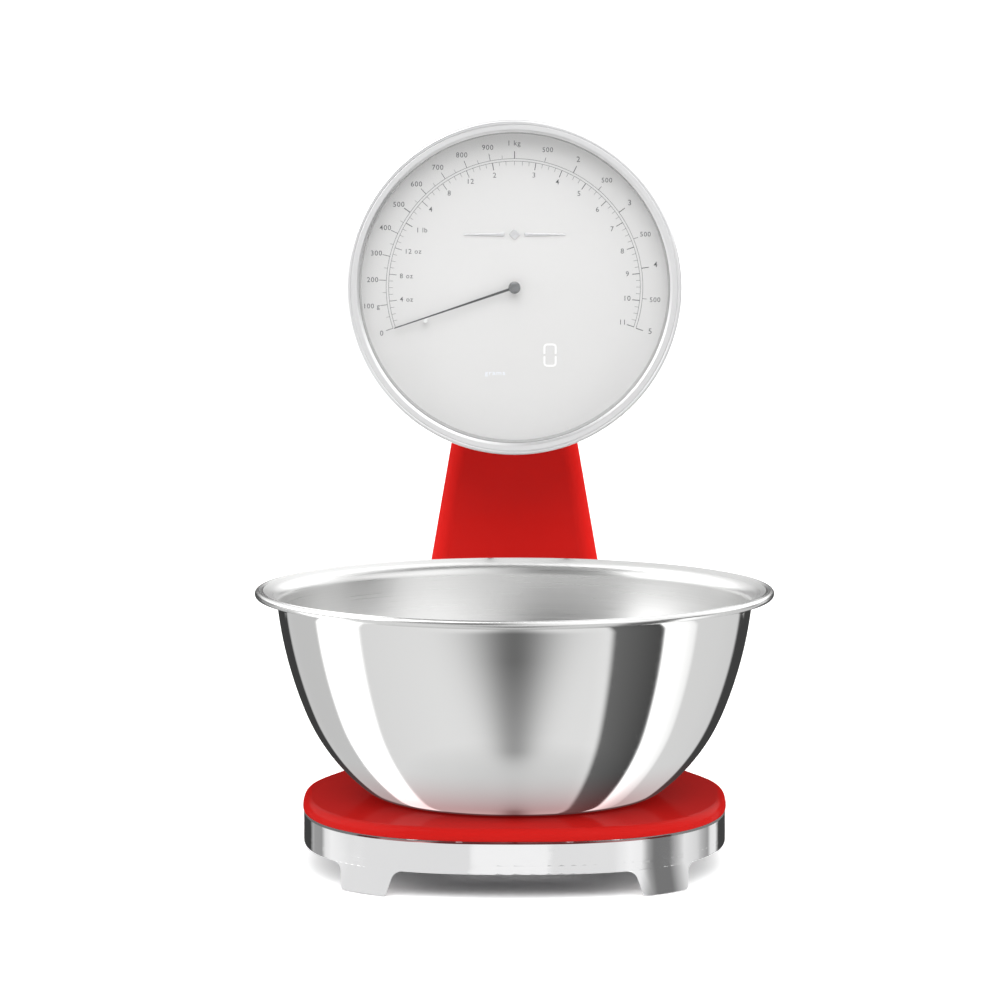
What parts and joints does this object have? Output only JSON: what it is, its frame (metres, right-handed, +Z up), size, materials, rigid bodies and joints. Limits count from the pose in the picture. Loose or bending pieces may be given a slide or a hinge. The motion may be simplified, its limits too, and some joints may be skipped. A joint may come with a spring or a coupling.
{
  "type": "kitchen scale",
  "caption": "Kitchen scale with a steel bowl on a red weighing platform, polished base with four legs, tapered column and round dial with pointer and lit digits.",
  "frame": {"origin": "centre of the footprint's rectangle, on the worktop under the feet", "axes": "+X to the right of someone facing the dial, +Y from the dial towards the column behind it, +Z up"},
  "size_m": [0.26, 0.3073, 0.371],
  "materials": {
    "polished_base": "polished",
    "cover_plastic": "matte",
    "screw_steel": "polished",
    "rubber_pad": "matte",
    "cell_aluminium": "machined",
    "gauge_silicone": "satin",
    "red_enamel": "gloss",
    "red_plastic": "gloss",
    "tray_plastic": "matte",
    "battery_case": "satin",
    "contact_steel": "satin",
    "bezel_chrome": "polished",
    "gasket_rubber": "matte",
    "clear_glass": "clear",
    "dial_white": "satin",
    "pin_white": "gloss",
    "motor_iron": "stamped",
    "coil_copper": "wound",
    "board_green": "solder mask",
    "component_black": "matte",
    "display_white": "matte",
    "diffuser_white": "satin",
    "lead_sheath": "satin",
    "dome_silicone": "satin",
    "carrier_steel": "satin",
    "bowl_steel": "mirror outside, satin inside",
    "pointer_black": "satin",
    "hub_dark": "gloss",
    "gear_plastic": "satin",
    "button_chrome": "polished"
  },
  "bodies": {
    "scale_body": {"base_frame": "polished_base", "bottom_cover": "cover_plastic", "drive_front_plate": "cover_plastic", "drive_case": "cover_plastic", "bottom_cover_screws": "screw_steel", "load_cell_base_screws": "screw_steel", "column_foot_screws": "screw_steel", "head_screws": "screw_steel", "board_screws": "screw_steel", "rear_panel_screws": "screw_steel", "foot_pad_front_left": "rubber_pad", "foot_pad_front_right": "rubber_pad", "foot_pad_rear_left": "rubber_pad", "foot_pad_rear_right": "rubber_pad", "load_cell": "cell_aluminium", "strain_gauges": "gauge_silicone", "column_shell": "red_enamel", "column_foot": "red_enamel", "head_housing": "red_enamel", "column_rear_panel": "red_plastic", "battery_tray": "tray_plastic", "battery_1": "battery_case", "battery_2": "battery_case", "battery_3": "battery_case", "battery_contacts": "contact_steel", "bezel_ring": "bezel_chrome", "glass_gasket": "gasket_rubber", "dial_glass": "clear_glass", "dial_spacer_ring": "dial_white", "dial_plate": "dial_white", "zero_stop_pin": "pin_white", "motor_stator": "motor_iron", "motor_coil": "coil_copper", "main_board": "board_green", "button_board": "board_green", "board_components": "component_black", "key_switches": "component_black", "display_module": "display_white", "display_diffuser": "diffuser_white", "load_cell_lead": "lead_sheath", "battery_lead": "lead_sheath", "dome_power": "dome_silicone", "dome_tare": "dome_silicone", "dome_unit": "dome_silicone"},
    "platform": {"weighing_plate": "red_enamel", "platform_carrier": "carrier_steel", "weighing_plate_screws": "screw_steel", "load_cell_platform_screws": "screw_steel"},
    "bowl": {"bowl": "bowl_steel"},
    "pointer_shaft": {"pointer": "pointer_black", "pointer_hub": "hub_dark", "pointer_collar": "hub_dark", "drive_wheel": "gear_plastic"},
    "idler": {"idler_gear": "gear_plastic"},
    "rotor": {"motor_rotor": "gear_plastic"},
    "door": {"battery_door": "red_plastic"},
    "key_power": {"button_power": "button_chrome"},
    "key_tare": {"button_tare": "button_chrome"},
    "key_unit": {"button_unit": "button_chrome"}
  },
  "joints": [
    {"name": "platform_travel", "type": "slide", "parent": "scale_body", "child": "platform", "axis": [0, 0, 1], "range_m": [-0.0006, 0], "stiffness_N_per_m": 81750, "springref_m": 0.00024, "deforming": ["load_cell", "strain_gauges"]},
    {"name": "bowl_lift_off", "type": "slide", "parent": "platform", "child": "bowl", "axis": [0, -0.8, 0.6], "range_m": [0, 0.25]},
    {"name": "pointer_turn", "type": "hinge", "parent": "scale_body", "child": "pointer_shaft", "pos_m": [0, 0.0656, 0.285], "axis": [0, 1, 0], "range_deg": [0, 217.4]},
    {"name": "idler_turn", "type": "hinge", "parent": "scale_body", "child": "idler", "pos_m": [0.015, 0.0656, 0.285], "axis": [0, 1, 0], "range_deg": [-870.1, 0.5]},
    {"name": "rotor_turn", "type": "hinge", "parent": "scale_body", "child": "rotor", "pos_m": [0.015, 0.0656, 0.272], "axis": [0, 1, 0], "range_deg": [-0.5, 2899.2]},
    {"name": "battery_door_pull", "type": "slide", "parent": "scale_body", "child": "door", "axis": [0, 1, 0], "range_m": [0, 0.04]},
    {"name": "power_press", "type": "slide", "parent": "scale_body", "child": "key_power", "axis": [0, -1, 0], "range_m": [0, 0.0012], "stiffness_N_per_m": 900, "springref_m": -0.0006, "deforming": ["dome_power"]},
    {"name": "tare_press", "type": "slide", "parent": "scale_body", "child": "key_tare", "axis": [0, -1, 0], "range_m": [0, 0.0012], "stiffness_N_per_m": 900, "springref_m": -0.0006, "deforming": ["dome_tare"]},
    {"name": "unit_press", "type": "slide", "parent": "scale_body", "child": "key_unit", "axis": [0, -1, 0], "range_m": [0, 0.0012], "stiffness_N_per_m": 900, "springref_m": -0.0006, "deforming": ["dome_unit"]}
  ],
  "couplings": [
    {"joint": "idler_turn", "follows": "pointer_turn", "ratio": -4},
    {"joint": "rotor_turn", "follows": "pointer_turn", "ratio": 13.333}
  ]
}
